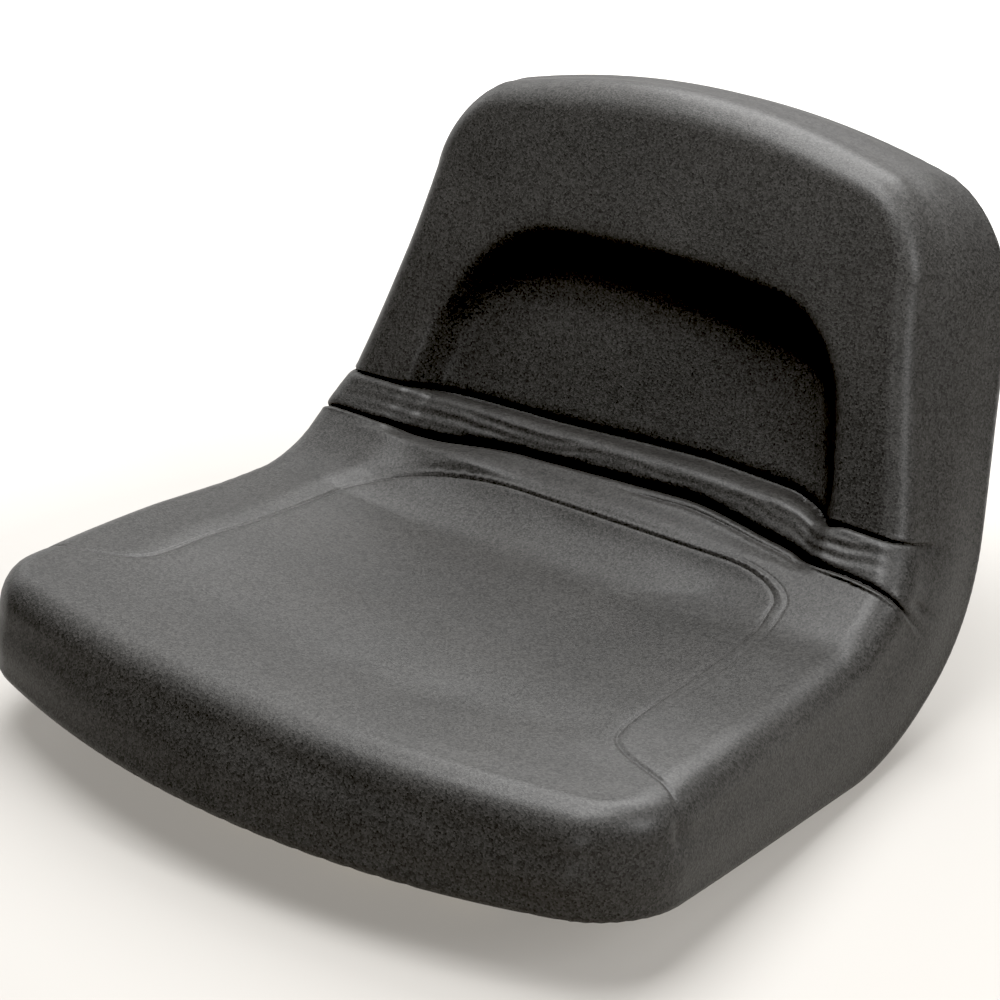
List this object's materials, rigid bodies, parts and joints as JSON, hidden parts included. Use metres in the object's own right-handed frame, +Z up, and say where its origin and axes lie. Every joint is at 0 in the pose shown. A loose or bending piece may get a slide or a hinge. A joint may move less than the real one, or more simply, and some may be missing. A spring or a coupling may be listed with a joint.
{
  "type": "bucket seat",
  "caption": "Low-back bucket seat for a garden machine: moulded black vinyl over foam on a pressed steel pan, with waist folds, a lumbar recess and a bolt-down base.",
  "frame": {"origin": "centre of the four mounting bolts, on the flat mounting face under the pan", "axes": "+Z up, square to the mounting face; the sitter faces -Y and the back stands at +Y; +X is to the sitter's left, across the seat"},
  "size_m": [0.482, 0.5088, 0.334],
  "materials": {
    "vinyl": "fine grained black vinyl with a soft satin sheen",
    "foam": "open moulded polyurethane foam",
    "pan_steel": "black painted pressed steel",
    "nut_steel": "zinc plated"
  },
  "bodies": {
    "root": {"vinyl_cover": "vinyl", "foam_cushion": "foam", "seat_pan": "pan_steel", "mounting_nuts": "nut_steel"}
  },
  "joints": []
}
